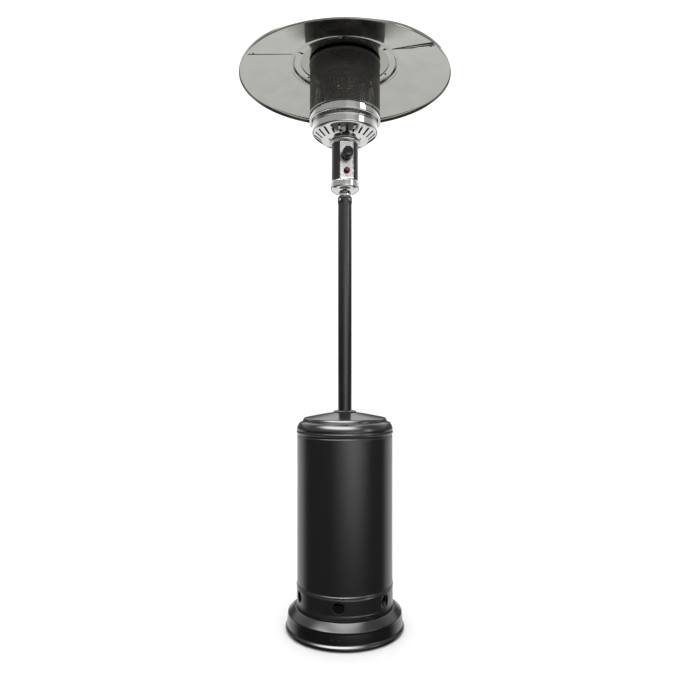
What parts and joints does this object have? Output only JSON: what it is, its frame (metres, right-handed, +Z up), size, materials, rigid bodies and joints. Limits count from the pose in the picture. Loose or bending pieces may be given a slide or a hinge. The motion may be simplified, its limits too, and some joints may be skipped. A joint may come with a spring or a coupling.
{
  "type": "patio heater",
  "caption": "Tall gas patio heater: round base, lift-up bottle housing, post, control head, slotted burner bowl, mesh emitter and shallow dome reflector.",
  "frame": {"origin": "on the floor, on the post's axis, at the centre of the base", "axes": "+Z up along the post; the control plate and knob face -Y; +X to the right of someone facing the plate"},
  "size_m": [0.8154, 0.8154, 2.1952],
  "materials": {
    "base_paint": "metallic grey, semi-gloss",
    "housing_paint": "fine textured anthracite, semi-gloss",
    "post_paint": "black, satin",
    "chrome": "polished stainless steel",
    "plate_steel": "polished stainless steel sheet",
    "mirror_aluminium": "mirror rolled aluminium sheet",
    "screen_steel": "perforated heat-dark stainless steel",
    "burner_steel": "satin stainless steel",
    "zinc_steel": "zinc plated",
    "bottle_paint": "blue-grey paint, semi-gloss",
    "brass": "machined",
    "black_plastic": "moulded, semi-gloss",
    "red_plastic": "moulded, glossy",
    "grey_plastic": "moulded, matt",
    "hose_rubber": "matt"
  },
  "bodies": {
    "frame": {"base_shell": "base_paint", "vent_ring": "housing_paint", "support_leg_1": "zinc_steel", "support_leg_2": "zinc_steel", "support_leg_3": "zinc_steel", "leg_bolt_1": "zinc_steel", "leg_bolt_2": "zinc_steel", "leg_bolt_3": "zinc_steel", "post_bracket": "zinc_steel", "bottle_body": "bottle_paint", "bottle_foot_ring": "bottle_paint", "bottle_collar": "bottle_paint", "bottle_valve": "brass", "regulator": "zinc_steel", "regulator_union_nut": "brass", "gas_hose": "hose_rubber", "post_tube": "post_paint", "post_bolt_1": "zinc_steel", "post_bolt_2": "zinc_steel", "post_bolt_3": "zinc_steel", "post_bolt_4": "zinc_steel", "burner_spigot": "chrome", "lower_cap": "chrome", "control_housing": "chrome", "control_plate": "plate_steel", "gas_valve": "brass", "igniter_bezel": "black_plastic", "igniter_body": "black_plastic", "tilt_switch": "grey_plastic", "injector": "brass", "pilot_tube": "zinc_steel", "thermocouple": "brass", "neck_flange": "chrome", "slotted_bowl": "chrome", "upper_band": "chrome", "band_screw_1": "zinc_steel", "band_screw_2": "zinc_steel", "band_screw_3": "zinc_steel", "band_screw_4": "zinc_steel", "burner_tube": "burner_steel", "burner_cup": "burner_steel", "flame_spreader": "burner_steel", "emitter_screen": "screen_steel", "screen_cap": "screen_steel", "reflector_hub": "mirror_aluminium", "reflector_panel_1": "mirror_aluminium", "reflector_panel_2": "mirror_aluminium", "reflector_panel_3": "mirror_aluminium", "reflector_stud_1": "zinc_steel", "reflector_stud_2": "zinc_steel", "reflector_stud_3": "zinc_steel"},
    "housing": {"housing_shell": "housing_paint", "housing_lid": "housing_paint", "lid_collar": "housing_paint"},
    "handwheel": {"valve_handwheel": "grey_plastic"},
    "stem": {"valve_stem": "brass"},
    "knob": {"control_knob": "black_plastic"},
    "button": {"igniter_button": "red_plastic"}
  },
  "joints": [
    {"name": "housing_lift", "type": "slide", "parent": "frame", "child": "housing", "axis": [0, 0, 1], "range_m": [0, 0.65]},
    {"name": "handwheel_turn", "type": "hinge", "parent": "frame", "child": "handwheel", "pos_m": [0, 0, 0.69], "axis": [0, 0, 1], "range_deg": [0, 720]},
    {"name": "stem_turn", "type": "hinge", "parent": "frame", "child": "stem", "pos_m": [0, -0.05, 1.822], "axis": [0, -1, 0], "range_deg": [0, 210]},
    {"name": "knob_press", "type": "slide", "parent": "stem", "child": "knob", "axis": [0, 1, 0], "range_m": [0, 0.004], "stiffness_N_per_m": 900},
    {"name": "button_press", "type": "slide", "parent": "frame", "child": "button", "axis": [0, 1, 0], "range_m": [0, 0.005], "stiffness_N_per_m": 1200}
  ]
}
